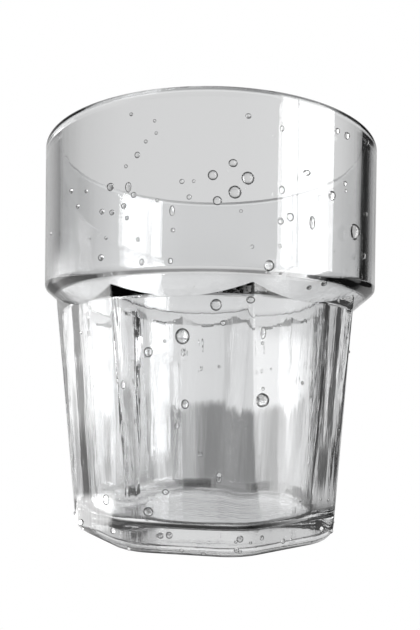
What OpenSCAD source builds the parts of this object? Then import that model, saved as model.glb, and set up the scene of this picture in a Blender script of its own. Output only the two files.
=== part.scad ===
// Clear plastic tumbler: a plain round band over a tapered body of flat panels.
// Lengths are in mm and angles in degrees. The foot stands on z = 0 and the mouth looks along +Z.
// The panels' ridges are sharp under the shoulder and soften towards the foot, so each
// panel runs up into the cone of the shoulder and ends there in a scalloped arc.

/* [Rim and band] */
// Height from the table to the lip
height = 93; // [84:0.5:104]
// Outer diameter at the lip
rim_d = 84; // [82.4:0.2:90]
// Outer diameter at the lower edge of the band
band_foot_d = 81.8; // [78:0.2:83]
// Height of the lower edge of the band above the table
band_foot_z = 57; // [50:0.5:66]
// Wall of the band
band_wall = 3.3; // [2.2:0.1:4.4]
// Rounding of the two edges of the lip
lip_round = 1.3; // [0.5:0.1:1.5]
// Rounding of the lower outer edge of the band
band_edge_round = 1.8; // [0.4:0.1:3]

/* [Shoulder] */
// Slope of the shoulder, from the level
shoulder_angle = 40; // [30:1:50]
// Wall of the shoulder, square to its slope
shoulder_wall = 1.9; // [1.4:0.1:2.8]
// Rounding of the two inner edges of the shoulder
shoulder_round = 1.2; // [0.4:0.1:2]

/* [Panels] */
// Number of flat panels
panel_count = 8; // [7:1:12]
// Width across opposite panels at the table
panel_foot_w = 60.2; // [54:0.2:63]
// Width across opposite panels at the lower edge of the band
panel_top_w = 70.9; // [67:0.1:73]
// Wall in the middle of a panel
panel_wall = 2.3; // [1.6:0.1:3.2]
// Radius of the ridges between panels at the table
ridge_round = 13; // [8:0.5:18]

/* [Foot] */
// Thickness of the floor
floor_t = 5.2; // [3:0.1:9]
// Rounding between the floor and the inner wall
floor_round = 3; // [2:0.5:9]
// Rounding of the outer edge of the foot
foot_round = 3.4; // [1.6:0.1:4.6]
// Diameter of the flat recess under the foot
recess_d = 44; // [30:1:48]
// Depth of the recess
recess_depth = 0.8; // [0.3:0.1:1.5]

/* [Hidden] */
$fn = 128;

// A rounding that stands proud by this much crosses its flat cleanly instead of grazing it
ridge_proud = 0.03;
foot_proud = 0.06;
// The cutter of the foot opens this much wider than the panels do
foot_flare = 7;
// How far cutters reach past what they cut
past = 1;

rim_r = rim_d / 2;
band_foot_r = band_foot_d / 2;
band_slope = (rim_r - band_foot_r) / (height - band_foot_z);
function band_r(z) = band_foot_r + (z - band_foot_z) * band_slope;

panel_foot_r = panel_foot_w / 2;
panel_slope = (panel_top_w / 2 - panel_foot_r) / band_foot_z;
panel_tilt = atan(panel_slope);
function panel_r(z) = panel_foot_r + z * panel_slope;

// Half of the turn from one panel to the next
half_turn = 180 / panel_count;
function ridge_r(z) = panel_r(z) / cos(half_turn);

// Each ridge is softened by a cone that touches both panels, with its tip on the ridge above the shoulder
tip_z = band_foot_z + past;
ridge_lean = atan(panel_slope / cos(half_turn));
cone_half = atan(ridge_round * cos(ridge_lean) / tip_z);
cone_facing = cos(panel_tilt) * cos(half_turn) * cos(ridge_lean) + sin(panel_tilt) * sin(ridge_lean);
cone_lean = asin(sin(cone_half) / cone_facing);
chord_lean = atan(tan(cone_lean) * (1 - cone_facing * cone_facing));
soft_ridge_slope = tan(ridge_lean + cone_lean - cone_half);
soft_ridge_r = ridge_r(tip_z) - tip_z * soft_ridge_slope;

// The inner cone lies one wall above the outer one: z = inner_cone_z + r * tan(shoulder_angle)
inner_cone_z = band_foot_z - band_foot_r * tan(shoulder_angle) + shoulder_wall / cos(shoulder_angle);
function cone_meets(r0, slope) = (r0 + inner_cone_z * slope) / (1 - slope * tan(shoulder_angle));
well_top_r = cone_meets(panel_foot_r - panel_wall, panel_slope);
well_top_z = inner_cone_z + well_top_r * tan(shoulder_angle);
band_in_r = cone_meets(band_r(0) - band_wall, band_slope);
band_in_z = inner_cone_z + band_in_r * tan(shoulder_angle);

function unit(v) = v / norm(v);
function ring(list, i) = list[(i + len(list)) % len(list)];
// Directions from corner i to its two neighbours, and what a rounding of radius r needs there
function to_last(p, i) = unit(ring(p, i - 1) - p[i]);
function to_next(p, i) = unit(ring(p, i + 1) - p[i]);
function half_corner(p, i) = acos(to_last(p, i) * to_next(p, i)) / 2;
function setback(p, i, r) = r / tan(half_corner(p, i));
function round_centre(p, i, r) = p[i] + unit(to_last(p, i) + to_next(p, i)) * r / sin(half_corner(p, i));
function turns_left(p, i) = cross(to_last(p, i), to_next(p, i)) < 0;

// A profile drawn as corner points, each with its own rounding (0 leaves it sharp)
module rounded_profile(p, r) {
  difference() {
    union() {
      polygon([
        for (i = [0 : len(p) - 1])
          for (q = r[i] > 0
            ? [p[i] + to_last(p, i) * setback(p, i, r[i]), p[i] + to_next(p, i) * setback(p, i, r[i])]
            : [p[i]])
            q
      ]);
      for (i = [0 : len(p) - 1])
        if (r[i] > 0 && turns_left(p, i)) translate(round_centre(p, i, r[i])) circle(r = r[i]);
    }
    for (i = [0 : len(p) - 1])
      if (r[i] > 0 && !turns_left(p, i)) translate(round_centre(p, i, r[i])) circle(r = r[i]);
  }
}

// Band and shoulder, turned solid; the shoulder runs on into the panels
module band_blank() {
  root_r = well_top_r - panel_wall;
  root_z = band_foot_z - (band_foot_r - root_r) * tan(shoulder_angle);
  rotate_extrude()
    rounded_profile(
      [[0, root_z], [root_r, root_z], [band_foot_r, band_foot_z], [rim_r, height], [0, height]],
      [0, 0, band_edge_round, lip_round, 0]
    );
}

// What is cut off one ridge: the corner outside a cone that lies in it, tip up
module ridge_waste() {
  reach = tip_z + ridge_round;
  translate([ridge_r(tip_z), 0, tip_z]) difference() {
    rotate([0, ridge_lean + chord_lean, 0])
      translate([0, -ridge_round, -reach]) cube([ridge_round, 2 * ridge_round, reach]);
    rotate([0, ridge_lean + cone_lean, 0])
      translate([0, 0, -reach - past])
        cylinder(h = reach + past, r1 = (reach + past) * tan(cone_half) + ridge_proud, r2 = ridge_proud);
  }
}

// What lies outside the rounded foot of a wall that leaves the table at foot_r and opens by this slope
module foot_trim(foot_r, slope) {
  tilt = atan(slope);
  flare = tilt + foot_flare;
  centre = foot_r + foot_round * (slope - 1 / cos(tilt)) + foot_proud;
  wall = centre + foot_round * cos(flare) - foot_round * (1 - sin(flare)) * tan(flare);
  top = 2 * foot_round;
  difference() {
    translate([centre - past, -past]) square([rim_r, 1.6 * foot_round + past]);
    rounded_profile([[0, 0], [wall, 0], [wall + top * tan(flare), top], [0, top]], [0, foot_round, 0, 0]);
  }
}

// Panelled body, solid, up into the shoulder
module panel_blank() {
  difference() {
    cylinder(h = band_foot_z, r = band_foot_r);
    for (k = [0 : panel_count - 1]) rotate([0, 0, 2 * k * half_turn]) {
      translate([panel_foot_r, 0, 0]) rotate([0, panel_tilt, 0])
        translate([0, -rim_d, -rim_r]) cube([rim_d, 2 * rim_d, 2 * height]);
      rotate([0, 0, half_turn]) ridge_waste();
      rotate([90, 0, 0])
        linear_extrude(height = 2 * rim_d, center = true) foot_trim(panel_foot_r, panel_slope);
    }
    rotate_extrude() foot_trim(soft_ridge_r, soft_ridge_slope);
  }
}

// The inside, with the room above the lip
module well() {
  rotate_extrude()
    rounded_profile(
      [
        [0, floor_t], [panel_r(floor_t) - panel_wall, floor_t], [well_top_r, well_top_z],
        [band_in_r, band_in_z], [rim_r - band_wall, height], [rim_r + past, height],
        [rim_r + past, height + past], [0, height + past]
      ],
      [0, floor_round, shoulder_round, shoulder_round, lip_round, 0, 0, 0]
    );
}

// Flat recess with a sloping edge, which leaves the foot standing on a ring
module recess() {
  translate([0, 0, -past])
    cylinder(h = past + recess_depth, r1 = recess_d / 2 + past, r2 = recess_d / 2 - recess_depth);
}

module tumbler() {
  color("gainsboro") difference() {
    union() {
      band_blank();
      panel_blank();
    }
    well();
    recess();
  }
}

tumbler();
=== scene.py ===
# %% [markdown]
# # A clear plastic tumbler
# This lesson dresses one clear, hard plastic tumbler: a round band at the mouth, a shoulder under it,
# and a body of eight flat panels on a thick foot. The solid is made elsewhere and comes in as a fixed
# frame, in metres and already in its right place. Blender adds the looks: the plastic, the water beads
# on it, the light and the camera.

# %% Load the frame
import math
import random
import bpy
import bmesh
from mathutils import Matrix, Vector
from mathutils.bvhtree import BVHTree


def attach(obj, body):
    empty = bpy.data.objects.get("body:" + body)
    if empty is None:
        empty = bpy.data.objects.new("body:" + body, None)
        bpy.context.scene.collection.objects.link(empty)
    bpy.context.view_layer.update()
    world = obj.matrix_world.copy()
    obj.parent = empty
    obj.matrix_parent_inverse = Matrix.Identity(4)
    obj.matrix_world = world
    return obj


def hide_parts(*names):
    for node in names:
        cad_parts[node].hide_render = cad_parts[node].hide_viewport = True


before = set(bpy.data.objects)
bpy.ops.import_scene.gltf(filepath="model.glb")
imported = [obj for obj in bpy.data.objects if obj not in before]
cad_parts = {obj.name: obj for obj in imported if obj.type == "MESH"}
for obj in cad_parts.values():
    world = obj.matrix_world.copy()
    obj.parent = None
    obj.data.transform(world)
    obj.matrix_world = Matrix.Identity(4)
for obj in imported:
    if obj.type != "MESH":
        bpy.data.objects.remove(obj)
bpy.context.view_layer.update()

scene = bpy.context.scene
scene.view_settings.view_transform = "Standard"

# %% [markdown]
# ## The camera
# The tumbler was seen from close by and from low down: the eye is below the mouth and above the foot,
# so the near rim arches up and the foot curves down. A camera could be aimed with a constraint, but
# here it is turned by three plain angles: which way it faces, how far it tilts up, and how far it leans.
# A camera starts out looking straight down, so a quarter turn first brings it level.

# %% Stand the camera
eye_bearing = math.radians(9.67)
eye_distance = 0.158
eye_height = 0.0347
look_bearing = math.radians(9.63)
tilt_up = math.radians(6.27)
lean = math.radians(-0.68)
quarter_turn = math.radians(90)
film_size = 36.0

eye = Vector((math.sin(eye_bearing), -math.cos(eye_bearing), 0.0)) * eye_distance
eye.z = eye_height
turn = Matrix.Rotation(look_bearing, 4, "Z")
tilt = Matrix.Rotation(quarter_turn + tilt_up, 4, "X")
roll = Matrix.Rotation(-lean, 4, "Z")
camera_data = bpy.data.cameras.new("camera")
camera_data.sensor_fit = "VERTICAL"
camera_data.sensor_height = film_size
camera_data.sensor_width = film_size
camera_data.lens = 35.556
camera_data.clip_start = 0.005
camera_data.clip_end = 20.0
camera = bpy.data.objects.new("camera", camera_data)
scene.collection.objects.link(camera)
camera.matrix_world = Matrix.Translation(eye) @ turn @ tilt @ roll
scene.camera = camera
print("camera at", tuple(round(c, 4) for c in eye))

# %% [markdown]
# ## The round blank
# The real tumbler is moulded in one shot, and every wall of it is glossy on both sides. Light bends four
# times on its way through, so the mesh has to be smooth and even: the frame's own triangles are long and
# thin, and their seams would show as kinks. A Boolean of a cone and a ring would leave the same kind of
# slivers. So the tumbler is made again here in even rows: half of its section is drawn as a wire, the
# wire's corners are rounded with a vertex bevel, and a spin turns it into a closed round blank.

# %% Draw half the section
mm = 0.001
recess_top_r = 21.2 * mm
recess_r = 22.0 * mm
recess_z = 0.8 * mm
foot_r = 30.1 * mm
foot_round = 3.4 * mm
root_r = 34.98 * mm
root_z = 52.04 * mm
band_foot_r = 40.9 * mm
band_foot_z = 57.0 * mm
band_foot_round = 1.8 * mm
lip_r = 42.0 * mm
lip_inside_r = 38.7 * mm
lip_z = 93.0 * mm
lip_round = 1.3 * mm
band_inside_r = 37.59 * mm
band_inside_z = 56.7 * mm
body_inside_r = 32.74 * mm
body_inside_z = 52.63 * mm
inside_round = 1.2 * mm
floor_r = 28.29 * mm
floor_z = 5.2 * mm
floor_round = 3.0 * mm

# radius, height and rounding of each corner, from the recess under the foot round to the floor inside
corners = (
    (0.0, recess_z, 0.0),
    (recess_top_r, recess_z, 0.0),
    (recess_r, 0.0, 0.0),
    (foot_r, 0.0, foot_round),
    (root_r, root_z, 0.0),
    (band_foot_r, band_foot_z, band_foot_round),
    (lip_r, lip_z, lip_round),
    (lip_inside_r, lip_z, lip_round),
    (band_inside_r, band_inside_z, inside_round),
    (body_inside_r, body_inside_z, inside_round),
    (floor_r, floor_z, floor_round),
    (0.0, floor_z, 0.0),
)
section = bmesh.new()
wire = [section.verts.new((r, 0.0, z)) for r, z, _ in corners]
for start, end in zip(wire, wire[1:]):
    section.edges.new((start, end))
print("corners of the section:", len(wire))


# %% Round its corners
def round_corner(corner, radius, arcs=10):
    """Bevels one corner of the wire; a rounding of this radius starts a setback away from the corner."""
    ways = [(edge.other_vert(corner).co - corner.co).normalized() for edge in corner.link_edges]
    setback = radius / math.tan(ways[0].angle(ways[1]) / 2)
    bmesh.ops.bevel(section, geom=[corner], offset=setback, offset_type="OFFSET", segments=arcs,
                    profile=0.5, affect="VERTICES", material=-1)


row_height = 2.2 * mm
for corner, (_, _, radius) in zip(wire, corners):
    if radius:
        round_corner(corner, radius)
for edge in list(section.edges):
    rows = int(edge.calc_length() / row_height)
    if rows:
        bmesh.ops.subdivide_edges(section, edges=[edge], cuts=rows)
print("points of the section:", len(section.verts))

# %% Spin the blank
panels = 8
flat_columns = 28
ridge_columns = 12
panel_columns = flat_columns + ridge_columns
columns = panels * panel_columns
same_spot = 1e-7
bmesh.ops.spin(section, geom=section.verts[:] + section.edges[:], axis=(0, 0, 1), cent=(0, 0, 0),
               angle=math.tau, steps=columns, use_merge=True)
bmesh.ops.remove_doubles(section, verts=section.verts, dist=same_spot)
blank = section
print("round blank:", len(blank.faces), "faces in", columns, "columns")

# %% [markdown]
# ## The eight panels
# Under the shoulder the tumbler has eight flat panels. Their ridges are sharp at the top and grow rounder
# towards the foot, as if a cone lay in each. Bisecting the blank with eight planes would give the flats but
# not the soft ridges, so the columns of the blank are pressed instead: each point keeps its row and slides
# to the flat or to the rounding beside it. Where a panel meets the sloping shoulder its edge is a scallop,
# found for each column by halving steps.

# %% Shape a panel and its ridge
half_panel = math.radians(360 / panels / 2)
panel_slope = 5.35 / 57
ridge_round = 13.0 * mm
ridge_tip_z = 58.0 * mm


def on_panels(column, z, inset=0.0):
    """The point of a column on the panelled body at this height, moved inwards by the inset."""
    panel, step = divmod((column + flat_columns // 2) % columns, panel_columns)
    facing = 2 * half_panel * panel
    flat = foot_r + z * panel_slope - inset
    soft = ridge_round * (1 - z / ridge_tip_z) - inset
    if step <= flat_columns:
        side = 2 * step / flat_columns - 1
        spot = Vector((flat, side * (flat - soft) * math.tan(half_panel)))
        spot.rotate(Matrix.Rotation(facing, 2))
    else:
        bend = facing + 2 * half_panel * (step - flat_columns) / ridge_columns
        hub = Vector(((flat - soft) / math.cos(half_panel), 0.0))
        hub.rotate(Matrix.Rotation(facing + half_panel, 2))
        spot = hub + soft * Vector((math.cos(bend), math.sin(bend)))
    return Vector((spot.x, spot.y, z))


print("panels of", 2 * math.degrees(half_panel), "degrees each")

# %% Find the scallops
shoulder_rise = math.tan(math.radians(40))
scallop_floor_z = 45 * mm
halvings = 30


def shoulder_r(z):
    """Radius of the outer cone of the shoulder at this height."""
    return band_foot_r - (band_foot_z - z) / shoulder_rise


def scallop(column):
    """Where a column of the panels runs into the shoulder."""
    low = scallop_floor_z
    high = band_foot_z
    for _ in range(halvings):
        middle = (low + high) / 2
        if on_panels(column, middle).xy.length > shoulder_r(middle):
            low = middle
        else:
            high = middle
    return on_panels(column, low)


scallops = [scallop(column) for column in range(columns)]
scallop_heights = [round(spot.z / mm, 1) for spot in scallops]
print("scallops from", min(scallop_heights), "to", max(scallop_heights), "mm")

# %% Press the panels
foot_flat_r = 27.0 * mm
foot_top_z = 3.08 * mm
least_band_r = 40.0 * mm
shoulder_top_z = min(v.co.z for v in blank.verts if v.co.xy.length > least_band_r)
hair = 0.01 * mm
foot_slack = 0.1 * mm
shoulder_slack = 0.3 * mm
wall_slack = 0.5 * mm


def pressed(point):
    """Where a point of the blank goes: on the flat of the foot, its rounding, a panel or the shoulder."""
    r = point.xy.length
    z = point.z
    column = round(math.atan2(point.y, point.x) / math.tau * columns) % columns
    arc = scallops[column]
    wall_r = foot_r + z * panel_slope
    if z < same_spot and recess_r + hair < r < foot_flat_r + hair:
        share = (r - recess_r) / (foot_flat_r - recess_r)
        outline = on_panels(column, 0.0, foot_r - foot_flat_r)
        return point.normalized() * recess_r * (1 - share) + outline * share
    if z < foot_top_z + foot_slack and r > foot_flat_r:
        return on_panels(column, z, wall_r - r)
    if foot_top_z < z < root_z + hair and r > wall_r - wall_slack:
        share = (z - foot_top_z) / (root_z - foot_top_z)
        return on_panels(column, foot_top_z + share * (arc.z - foot_top_z))
    if root_z < z < shoulder_top_z + same_spot and r > shoulder_r(z) - shoulder_slack:
        share = (z - root_z) / (shoulder_top_z - root_z)
        way = arc.xy.normalized().lerp(point.xy.normalized(), share)
        z = arc.z + share * (shoulder_top_z - arc.z)
        way = way.normalized() * shoulder_r(z)
        return Vector((way.x, way.y, z))
    return point


for v in blank.verts:
    v.co = pressed(v.co.copy())
print("panels pressed up to", round(shoulder_top_z / mm, 1), "mm")

# %% Finish the moulding
crease = math.radians(25)
bmesh.ops.recalc_face_normals(blank, faces=blank.faces)
mesh = bpy.data.meshes.new("tumbler_moulding")
blank.to_mesh(mesh)
print("plastic:", round(blank.calc_volume() * 1e6, 1), "cubic centimetres")
blank.free()
mesh.shade_smooth()
mesh.set_sharp_from_angle(angle=crease)
moulding = bpy.data.objects.new("tumbler_moulding", mesh)
scene.collection.objects.link(moulding)
even = moulding.modifiers.new("even_shading", "WEIGHTED_NORMAL")
even.keep_sharp = True
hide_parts("tumbler")
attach(moulding, "root")

# %% [markdown]
# ## Clear plastic
# The plastic is a clear, glossy moulding. A Glass shader would do, but the Principled shader with full
# Transmission also exports. Two things keep it from looking like a computer's glass. The mould was polished
# up and down, which left fine upright draw marks on the panels, so what is seen through them breaks up into
# streaks. And washing has left a faint, patchy haze. Both are noise on Object coordinates: the marks are
# noise stretched along Z that feeds a bump, and the haze feeds the roughness.

# %% Start the plastic
plastic = bpy.data.materials.new("clear_plastic")
plastic.use_nodes = True
nodes = plastic.node_tree.nodes
links = plastic.node_tree.links
skin = nodes["Principled BSDF"]
skin.inputs["Base Color"].default_value = (0.95, 0.955, 0.96, 1.0)
skin.inputs["Transmission Weight"].default_value = 1.0
skin.inputs["IOR"].default_value = 1.56
coords = nodes.new("ShaderNodeTexCoord")


def stretched_noise(scale, detail):
    """Noise on Object coordinates, with its own scale along each axis, in grains per metre."""
    place = nodes.new("ShaderNodeMapping")
    place.inputs["Scale"].default_value = scale
    links.new(coords.outputs["Object"], place.inputs["Vector"])
    noise = nodes.new("ShaderNodeTexNoise")
    noise.inputs["Scale"].default_value = 1.0
    noise.inputs["Detail"].default_value = detail
    links.new(place.outputs["Vector"], noise.inputs["Vector"])
    return noise.outputs["Fac"]


def remap(value, start, end, first, last, curve="LINEAR"):
    """Turns a socket that runs from start to end into one that runs from first to last."""
    scale = nodes.new("ShaderNodeMapRange")
    scale.interpolation_type = curve
    scale.inputs["From Min"].default_value = start
    scale.inputs["From Max"].default_value = end
    scale.inputs["To Min"].default_value = first
    scale.inputs["To Max"].default_value = last
    links.new(value, scale.inputs["Value"])
    return scale.outputs["Result"]


def combine(operation, *values):
    """One step of arithmetic; each value is a socket or a plain number."""
    step = nodes.new("ShaderNodeMath")
    step.operation = operation
    for socket, value in zip(step.inputs, values):
        if isinstance(value, float):
            socket.default_value = value
        else:
            links.new(value, socket)
    return step.outputs["Value"]


print("plastic started:", plastic.name)

# %% Add the draw marks
body_top_z = 50 * mm
band_start_z = 60 * mm
marks_on_body = 2.4
marks_on_band = 0.3
wave_height = 1.6
relief_depth = 0.02 * mm

draw_marks = stretched_noise(scale=(800, 800, 6), detail=2.0)
waviness = stretched_noise(scale=(110, 110, 45), detail=1.0)
place_on_wall = nodes.new("ShaderNodeSeparateXYZ")
links.new(coords.outputs["Object"], place_on_wall.inputs["Vector"])
depth_there = remap(place_on_wall.outputs["Z"], body_top_z, band_start_z, marks_on_body, marks_on_band)
marks = combine("MULTIPLY", draw_marks, depth_there)
relief = combine("MULTIPLY_ADD", waviness, wave_height, marks)
bump = nodes.new("ShaderNodeBump")
bump.inputs["Strength"].default_value = 1.0
bump.inputs["Distance"].default_value = relief_depth
links.new(relief, bump.inputs["Height"])
links.new(bump.outputs["Normal"], skin.inputs["Normal"])
print("draw marks up to", band_start_z / mm, "mm")

# %% Add the haze
clean = 0.008
hazy = 0.07
patches = stretched_noise(scale=(260, 260, 180), detail=4.0)
haze = remap(patches, start=0.45, end=0.8, first=clean, last=hazy)
links.new(haze, skin.inputs["Roughness"])
mesh.materials.append(plastic)
print("plastic on", moulding.name)

# %% [markdown]
# ## Water beads
# The tumbler has been rinsed, and beads of water cling to it. A bead is the cap of a sphere, flat where it
# meets the wall. A particle system could scatter copies, but these beads are few and differ in size, so each
# is a UV sphere cut off at the wall with a bisect plane and closed with one face. A ray sent in from outside
# finds the wall, so every bead sits on it whichever side it is seen from. The beads that show most are set
# one by one on the near side, and the rest are sprinkled all round with a fixed seed.

# %% Shape one bead
bpy.context.view_layer.update()
wall = BVHTree.FromObject(moulding, bpy.context.evaluated_depsgraph_get())
water = bmesh.new()
one_bead = bpy.data.meshes.new("one_bead")
wetting = math.radians(80)
ray_start = 0.1
off_wall = 0.01


def set_bead(bearing, height, radius, tall=1.0, segments=20):
    """A drop of this base radius on the outer wall. Lengths in mm, the bearing from -Y towards +X."""
    turn = math.radians(bearing)
    outwards = Vector((math.sin(turn), -math.cos(turn), 0.0))
    spot, normal, _, _ = wall.ray_cast(outwards * ray_start + Vector((0, 0, height * mm)), -outwards)
    spot = spot + normal * off_wall * mm
    ball = radius * mm / math.sin(wetting)
    stand = Matrix.Translation(spot) @ normal.to_track_quat("Z", "Y").to_matrix().to_4x4()
    stretch = Matrix.Diagonal((1.0, tall, 1.0, 1.0))
    sink = Matrix.Translation((0, 0, -ball * math.cos(wetting)))
    drop = bmesh.new()
    bmesh.ops.create_uvsphere(drop, u_segments=segments, v_segments=segments, radius=ball,
                              matrix=stand @ stretch @ sink)
    cut = bmesh.ops.bisect_plane(drop, geom=drop.verts[:] + drop.edges[:] + drop.faces[:], plane_co=spot,
                                 plane_no=normal, clear_inner=True)
    rim = [item for item in cut["geom_cut"] if isinstance(item, bmesh.types.BMEdge)]
    bmesh.ops.contextual_create(drop, geom=rim)
    drop.to_mesh(one_bead)
    drop.free()
    water.from_mesh(one_bead)


print("a bead meets the wall at", round(math.degrees(wetting)), "degrees")

# %% Set the big beads
# bearing in degrees, height and base radius in mm, and how far the bead is drawn out upwards
big_beads = (
    (19.6, 74.4, 1.3, 1.0),
    (16.1, 71.5, 1.3, 1.0),
    (10.1, 74.7, 1.0, 1.0),
    (15.5, 77.2, 0.9, 0.9),
    (11.4, 69.7, 0.9, 1.0),
    (11.7, 50.2, 1.2, 1.0),
    (22.0, 51.1, 0.9, 0.8),
    (0.6, 44.0, 1.5, 1.1),
    (-11.2, 40.8, 0.95, 1.1),
    (25.9, 57.5, 1.1, 1.0),
    (27.6, 31.5, 1.6, 0.9),
    (1.5, 30.5, 0.8, 1.2),
    (-11.0, 79.5, 0.6, 1.1),
    (-19.6, 73.8, 0.85, 1.0),
    (-13.7, 73.2, 0.7, 1.5),
    (-12.0, 71.5, 0.6, 1.0),
    (-22.6, 69.0, 0.6, 1.0),
    (-15.1, 69.5, 0.6, 1.0),
    (-36.2, 75.1, 0.55, 1.0),
    (-32.8, 71.3, 0.5, 1.0),
    (-22.8, 59.6, 0.7, 1.0),
    (-9.3, 58.0, 0.5, 1.4),
    (-1.1, 58.0, 0.5, 1.2),
    (-0.8, 67.8, 0.55, 1.9),
    (1.8, 73.5, 0.5, 1.0),
    (3.8, 70.4, 0.5, 1.0),
    (19.5, 86.8, 0.6, 0.9),
    (29.2, 85.1, 0.5, 1.2),
    (48.6, 87.6, 0.65, 1.0),
    (53.1, 87.5, 0.8, 1.0),
    (66.4, 89.0, 0.6, 1.2),
    (37.2, 77.0, 0.85, 0.7),
    (29.4, 72.7, 0.6, 1.4),
    (46.8, 73.5, 0.85, 1.2),
    (29.2, 66.4, 0.6, 1.0),
    (32.0, 67.5, 0.8, 1.1),
    (39.3, 67.0, 0.7, 2.0),
    (57.9, 67.3, 1.5, 1.2),
    (64.8, 62.9, 0.7, 1.2),
    (14.0, 46.6, 0.6, 0.9),
    (26.9, 44.8, 0.7, 1.8),
    (-19.8, 34.2, 0.5, 1.7),
    (-32.4, 10.1, 0.8, 1.4),
    (-12.3, 8.9, 1.05, 0.9),
    (-5.8, 13.0, 0.7, 0.8),
    (-1.4, 26.2, 0.5, 1.3),
    (13.6, 16.2, 0.6, 1.8),
)
for bearing, height, radius, tall in big_beads:
    set_bead(bearing, height, radius, tall)
print("big beads:", len(big_beads))

# %% Set the small beads
# bearing in degrees, height and base radius in mm
small_beads = (
    (-13, 88, 0.4),
    (-6, 86, 0.35),
    (-5.5, 83.5, 0.35),
    (-8.5, 82, 0.4),
    (-14.5, 77.5, 0.4),
    (5, 73.5, 0.35),
    (-29, 74, 0.45),
    (-19, 68.5, 0.6),
    (-14, 67, 0.5),
    (-10.5, 62.5, 0.45),
    (-21, 63.5, 0.4),
    (-5, 70, 0.4),
    (-0.5, 64, 0.45),
    (21, 61, 0.4),
    (29, 61.5, 0.4),
    (52.5, 77, 0.55),
    (66, 72.5, 0.6),
    (46.5, 55.5, 0.7),
    (42, 54.5, 0.6),
    (45.5, 35, 0.4),
    (66, 25, 0.45),
    (-5.5, 43, 0.35),
    (-2, 47, 0.3),
    (22, 26, 0.3),
    (13, 38, 0.3),
)
for bearing, height, radius in small_beads:
    set_bead(bearing, height, radius, segments=12)
print("small beads:", len(small_beads))

# %% Sprinkle the rest
sprinkle = random.Random(7)
all_round = (-180, 180)
far_side = (95, 265)


def sprinkle_beads(count, bearings, heights, radii, segments, stretch=None):
    """Sets beads at random; each range is a lowest and a highest value."""
    for _ in range(count):
        bearing = sprinkle.uniform(*bearings)
        height = sprinkle.uniform(*heights)
        radius = sprinkle.uniform(*radii)
        tall = sprinkle.uniform(*stretch) if stretch else 1.0
        set_bead(bearing, height, radius, tall, segments)


sprinkle_beads(50, all_round, heights=(6, 76), radii=(0.2, 0.4), segments=10)
sprinkle_beads(24, far_side, heights=(8, 48), radii=(0.5, 1.2), segments=14, stretch=(0.9, 1.5))
sprinkle_beads(50, all_round, heights=(0.9, 4.5), radii=(0.3, 0.8), segments=10)
bpy.data.meshes.remove(one_bead)
print("beads in all:", len(water.verts), "points")

# %% Finish the beads
bead_crease = math.radians(45)
bmesh.ops.recalc_face_normals(water, faces=water.faces)
water_mesh = bpy.data.meshes.new("water_beads")
water.to_mesh(water_mesh)
water.free()
water_mesh.shade_smooth()
water_mesh.set_sharp_from_angle(angle=bead_crease)
water_beads = bpy.data.objects.new("water_beads", water_mesh)
scene.collection.objects.link(water_beads)
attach(water_beads, "root")
print("water beads:", len(water_mesh.polygons), "faces")

# %% [markdown]
# ## Water
# Water bends light less than the plastic does, so its index of refraction is lower. A real bead has a dark
# ring where its edge turns away from the eye. These beads are only a few pixels wide, so that ring is
# painted
# shade: Layer Weight finds the edge and darkens the colour there. A faint ripple keeps each bead from being
# a perfect lens.

# %% Mix the water
ripple_depth = 0.08 * mm
water_look = bpy.data.materials.new("water")
water_look.use_nodes = True
nodes = water_look.node_tree.nodes
links = water_look.node_tree.links
film = nodes["Principled BSDF"]
film.inputs["Transmission Weight"].default_value = 1.0
film.inputs["IOR"].default_value = 1.33
film.inputs["Roughness"].default_value = 0.0
turned_away = nodes.new("ShaderNodeLayerWeight")
turned_away.inputs["Blend"].default_value = 0.5
# painted shade: the colour darkens towards each bead's edge, where a real bead shows a dark ring
painted_rim_shade = remap(turned_away.outputs["Facing"], start=0.18, end=0.45, first=0.98, last=0.02,
             curve="SMOOTHSTEP")
links.new(painted_rim_shade, film.inputs["Base Color"])
coords = nodes.new("ShaderNodeTexCoord")
ripple = nodes.new("ShaderNodeTexNoise")
ripple.inputs["Scale"].default_value = 700.0
ripple.inputs["Detail"].default_value = 1.0
links.new(coords.outputs["Object"], ripple.inputs["Vector"])
bump = nodes.new("ShaderNodeBump")
bump.inputs["Distance"].default_value = ripple_depth
links.new(ripple.outputs["Fac"], bump.inputs["Height"])
links.new(bump.outputs["Normal"], film.inputs["Normal"])
water_mesh.materials.append(water_look)
print("water on", water_beads.name)

# %% [markdown]
# ## The room
# Clear plastic has no colour of its own: it shows the room, bent and mirrored. A lamp alone would leave it
# black and flat, and a plain white world would leave it nearly invisible. So the world is painted as a plain
# room: a pale wall behind, a dark corner to the right of it, and dimmer towards the eye. A radial gradient
# turns the direction into a number from 0 to 1 round the horizon, and a colour ramp gives each bearing its
# tone. Straight to the camera the room is white: Light Path picks those rays out. Glossy and transmitted
# rays see the painted room, because that is what the plastic has to show.

# %% Choose the room's tones
# each stop is a bearing in degrees, counted from -Y towards +X, and a grey tone
high_wall = (
    (-88, 0.3),
    (-60, 0.4),
    (-30, 0.5),
    (30, 0.5),
    (54, 0.9),
    (100, 0.9),
    (112, 0.5),
    (126, 0.4),
    (127.5, 0.02),
    (149, 0.02),
    (155, 0.5),
    (166, 0.5),
    (173, 0.62),
    (186, 0.71),
    (200, 0.7),
    (208, 0.62),
    (222, 0.55),
    (232, 0.42),
    (250, 0.18),
    (268, 0.15),
)
low_wall = (
    (-88, 1.0),
    (-50, 0.9),
    (-30, 0.02),
    (25, 0.02),
    (45, 0.8),
    (95, 0.8),
    (104, 0.45),
    (126.3, 0.42),
    (127.3, 0.0),
    (149, 0.0),
    (156, 0.85),
    (166, 0.65),
    (173, 0.8),
    (205, 0.86),
    (217, 0.66),
    (226, 0.9),
    (238, 1.0),
    (244, 2.4),
    (268, 2.4),
)
ceiling = (
    (-88, 0.9),
    (80, 0.9),
    (110, 0.06),
    (240, 0.06),
    (268, 0.2),
)
print("tones of the room:", len(high_wall) + len(low_wall) + len(ceiling))

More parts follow.
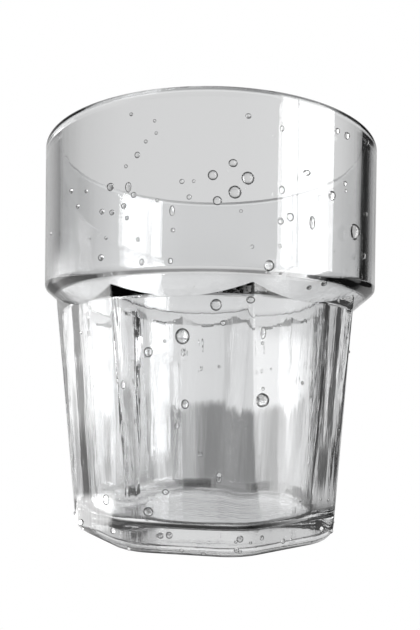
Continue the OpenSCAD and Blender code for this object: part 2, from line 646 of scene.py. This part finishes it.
# %% Prepare the brushes
world = bpy.data.worlds.new("room")
world.use_nodes = True
scene.world = world
nodes = world.node_tree.nodes
links = world.node_tree.links
ramp_starts_at = -90
whole_turn = 360


def by_bearing(vector, tones):
    """A colour ramp round the horizon."""
    around = nodes.new("ShaderNodeTexGradient")
    around.gradient_type = "RADIAL"
    links.new(vector, around.inputs["Vector"])
    shades = nodes.new("ShaderNodeValToRGB")
    links.new(around.outputs["Fac"], shades.inputs["Fac"])
    ramp = shades.color_ramp
    for count, (bearing, tone) in enumerate(tones):
        place = (bearing - ramp_starts_at) / whole_turn
        stop = ramp.elements[count] if count < 2 else ramp.elements.new(place)
        stop.position = place
        stop.color = (tone, tone, tone, 1.0)
    return shades.outputs["Color"]


def soft_step(value, low, high):
    """Goes smoothly from 0 at the low value to 1 at the high one."""
    return remap(value, low, high, first=0.0, last=1.0, curve="SMOOTHSTEP")


def blend(share, first, second):
    """Mixes two colours; each is a socket or a plain grey tone."""
    mix = nodes.new("ShaderNodeMix")
    mix.data_type = "RGBA"
    links.new(share, mix.inputs["Factor"])
    for name, value in (("A", first), ("B", second)):
        if isinstance(value, float):
            mix.inputs[name].default_value = (value, value, value, 1.0)
        else:
            links.new(value, mix.inputs[name])
    return mix.outputs["Result"]


print("brushes ready for", world.name)

# %% Paint the room
# how far a direction rises, from 0 at the horizon to 1 overhead, where one tone runs into the next
low_wall_ends = (0.09, 0.2)
ceiling_begins = (0.5, 0.75)
white_tone = 1.0

coords = nodes.new("ShaderNodeTexCoord")
direction = coords.outputs["Generated"]
upwards = nodes.new("ShaderNodeSeparateXYZ")
links.new(direction, upwards.inputs["Vector"])
rise = upwards.outputs["Z"]
room = blend(soft_step(rise, *low_wall_ends), by_bearing(direction, low_wall),
             by_bearing(direction, high_wall))
room = blend(soft_step(rise, *ceiling_begins), room, by_bearing(direction, ceiling))
ray = nodes.new("ShaderNodeLightPath")
room = blend(ray.outputs["Is Camera Ray"], room, white_tone)
links.new(room, nodes["Background"].inputs["Color"])
print("room painted:", len(nodes), "nodes")

# %% [markdown]
# ## The table
# Low down, the plastic shows the table more than the room. A diffuse table under lamps would do, but each
# of its tones would hang on the lamps and come out grainy through the plastic. So the table's light and
# shade are painted into tones that it gives off, by bearing and by distance from the middle: painted light
# in the spot under the recess, painted shadow and light in the ring where the foot stands and in the shade
# round the foot, and the open table, which far out runs into the tones of the low wall.
# To the camera the table is white, as the room is.

# %% Choose the table's tones
# painted light: the table's tone in the spot under the recess
light_under_recess = 0.58
# painted shadow and light in the ring where the foot stands: dark in front, bright behind
foot_ring_shadow_and_light = (
    (-88, 0.4),
    (-45, 0.0),
    (40, 0.0),
    (85, 0.5),
    (100, 0.9),
    (268, 1.0),
    (270, 0.2),
)
# painted shadow and light round the foot: the tumbler's shadow behind and to the right, bright in front
round_foot_shadow_and_light = (
    (-88, 1.0),
    (20, 0.9),
    (35, 0.15),
    (55, 0.9),
    (75, 0.9),
    (90, 0.1),
    (150, 0.12),
    (160, 0.3),
    (170, 0.28),
    (178, 0.06),
    (198, 0.08),
    (206, 0.38),
    (230, 0.5),
    (268, 0.7),
)
open_table = (
    (-88, 1.0),
    (-48, 1.0),
    (-38, 0.4),
    (0, 0.25),
    (30, 0.15),
    (50, 0.2),
    (55, 0.9),
    (86, 0.9),
    (90, 0.55),
    (150, 0.5),
    (163, 0.45),
    (168, 0.3),
    (183, 0.28),
    (190, 0.4),
    (200, 0.6),
    (207, 0.85),
    (215, 0.6),
    (221, 0.36),
    (234, 0.4),
    (244, 1.0),
    (268, 1.0),
)
print("tones of the table:", len(foot_ring_shadow_and_light) + len(round_foot_shadow_and_light) + len(open_table))

# %% Lay the table
table_drop = 0.4 * mm
table_half = 1.5
table_mesh = bpy.data.meshes.new("table")
sheet = bmesh.new()
bmesh.ops.create_grid(sheet, x_segments=1, y_segments=1, size=table_half)
bmesh.ops.translate(sheet, verts=sheet.verts, vec=(0, 0, -table_drop))
sheet.to_mesh(table_mesh)
sheet.free()
table = bpy.data.objects.new("table", table_mesh)
scene.collection.objects.link(table)
print("table laid", table_drop / mm, "mm under the foot")

# %% Paint the table
# distances from the middle over which one ring of tones runs into the next
recess_edge = (19 * mm, 22 * mm)
foot_edge = (28 * mm, 31 * mm)
shade_edge = (40 * mm, 70 * mm)
table_end = (700 * mm, 1300 * mm)

table_look = bpy.data.materials.new("table_painted_light_and_shade")
table_look.use_nodes = True
table_mesh.materials.append(table_look)
nodes = table_look.node_tree.nodes
links = table_look.node_tree.links
nodes.remove(nodes["Principled BSDF"])
coords = nodes.new("ShaderNodeTexCoord")
spot = coords.outputs["Object"]
length = nodes.new("ShaderNodeVectorMath")
length.operation = "LENGTH"
links.new(spot, length.inputs[0])
distance = length.outputs["Value"]
tone = blend(soft_step(distance, *recess_edge), light_under_recess, by_bearing(spot, foot_ring_shadow_and_light))
tone = blend(soft_step(distance, *foot_edge), tone, by_bearing(spot, round_foot_shadow_and_light))
tone = blend(soft_step(distance, *shade_edge), tone, by_bearing(spot, open_table))
tone = blend(soft_step(distance, *table_end), tone, by_bearing(spot, low_wall))
print("table painted:", len(nodes), "nodes")

# %% [markdown]
# ## Shadow and glare on the table
# The dark corner of the room goes on over the table as a shadow. Daylight lays three patches of glare: one
# to the right, one close to the foot at the left, and a fainter one behind it. The shadow and the right
# patch each have a straight edge, as on a real table, so they aren't part of the rings of tones. A dot
# product with a direction tells on which side of a line a spot lies, and a narrow Map Range makes that a
# soft edge.

# %% Cast the shadow
# the tone of the painted shadow on the table
painted_shadow_tone = 0.04
shadow_near = (
    (-88, 0.0),
    (85, 0.0),
    (92, 1.0),
    (160, 1.0),
    (165, 0.0),
    (268, 0.0),
)
shadow_far = (
    (-88, 0.0),
    (123.5, 0.0),
    (125.5, 1.0),
    (160, 1.0),
    (165, 0.0),
    (268, 0.0),
)
near_runs_into_far = (130 * mm, 200 * mm)
shadow_across = (-0.88, 0.47, 0.0)
shadow_edge = (-50 * mm, -42 * mm)


def before_line(across, start, end):
    """1 before a straight edge on the table and 0 past it; across is the direction square to the edge."""
    along = nodes.new("ShaderNodeVectorMath")
    along.operation = "DOT_PRODUCT"
    along.inputs[1].default_value = across
    links.new(spot, along.inputs[0])
    return remap(along.outputs["Value"], start, end, first=1.0, last=0.0)


shadow = blend(soft_step(distance, *near_runs_into_far), by_bearing(spot, shadow_near),
               by_bearing(spot, shadow_far))
shadow = combine("MULTIPLY", shadow, before_line(shadow_across, *shadow_edge))
tone = blend(shadow, tone, painted_shadow_tone)
print("shadow cast:", len(nodes), "nodes")

# %% Add the glare
right_glare = (
    (-85, 0.0),
    (50, 0.0),
    (55, 1.0),
    (100, 1.0),
    (110, 0.0),
    (268, 0.0),
)
left_glare = (
    (-88, 1.0),
    (-62, 1.0),
    (-52, 0.0),
    (268, 0.0),
)
back_glare = (
    (-88, 0.0),
    (237, 0.0),
    (244, 0.4),
    (268, 0.4),
)
glare_across = (0.0, 1.0, 0.0)
glare_edge = (-21 * mm, -16 * mm)
glare_strength = 3.5
plain_strength = 1.0


def glare_patch(tones, begins, ends):
    """A patch by bearing that fades in and out over two stretches of distance from the middle."""
    reach = combine("SUBTRACT", soft_step(distance, *begins), soft_step(distance, *ends))
    return combine("MULTIPLY", by_bearing(spot, tones), reach)


right_patch = glare_patch(right_glare, begins=(40 * mm, 70 * mm), ends=(500 * mm, 900 * mm))
right_patch = combine("MULTIPLY", right_patch, before_line(glare_across, *glare_edge))
left_patch = glare_patch(left_glare, begins=(32 * mm, 35 * mm), ends=(55 * mm, 65 * mm))
back_patch = glare_patch(back_glare, begins=(120 * mm, 250 * mm), ends=table_end)
glare = combine("ADD", right_patch, combine("ADD", left_patch, back_patch))
brightness = combine("MULTIPLY_ADD", glare, glare_strength, plain_strength)
print("glare added:", len(nodes), "nodes")

# %% Show the table
# the table's painted light and shade glow out of it to every ray but the camera's
seen_through = nodes.new("ShaderNodeEmission")
links.new(tone, seen_through.inputs["Color"])
links.new(brightness, seen_through.inputs["Strength"])
white = nodes.new("ShaderNodeEmission")
ray = nodes.new("ShaderNodeLightPath")
to_eye = nodes.new("ShaderNodeMixShader")
links.new(ray.outputs["Is Camera Ray"], to_eye.inputs[0])
links.new(seen_through.outputs[0], to_eye.inputs[1])
links.new(white.outputs[0], to_eye.inputs[2])
links.new(to_eye.outputs[0], nodes["Material Output"].inputs["Surface"])
print("table shaded:", len(nodes), "nodes")

# %% [markdown]
# ## The window
# The tall bright strip on the band is a window, mirrored. It could be one more tone of the room, but a lamp
# is far brighter than a wall and its reflection has a crisp edge. Two upright area lamps stand side by side,
# and the gap between them is the bar between two panes. The camera doesn't see them.

# %% Hang the window
window_bearing = math.radians(75)
window_distance = 0.8
window_low = 0.06
window_high = 0.9
window_radiance = 6.0


def hang_pane(name, side, wide):
    """An upright lamp that faces the tumbler; side slides it along its own plane."""
    lamp = bpy.data.lights.new(name, "AREA")
    lamp.shape = "RECTANGLE"
    lamp.size = wide
    lamp.size_y = window_high - window_low
    lamp.energy = window_radiance * math.pi * lamp.size * lamp.size_y
    pane = bpy.data.objects.new(name, lamp)
    scene.collection.objects.link(pane)
    pane.location = (
        window_distance * math.sin(window_bearing) + side * math.cos(window_bearing),
        -window_distance * math.cos(window_bearing) + side * math.sin(window_bearing),
        (window_low + window_high) / 2,
    )
    pane.rotation_euler = (quarter_turn, 0.0, window_bearing)
    pane.visible_camera = False


hang_pane("window_near", side=-0.226, wide=0.158)
hang_pane("window_far", side=0.07, wide=0.4)
print("window hung in two panes")
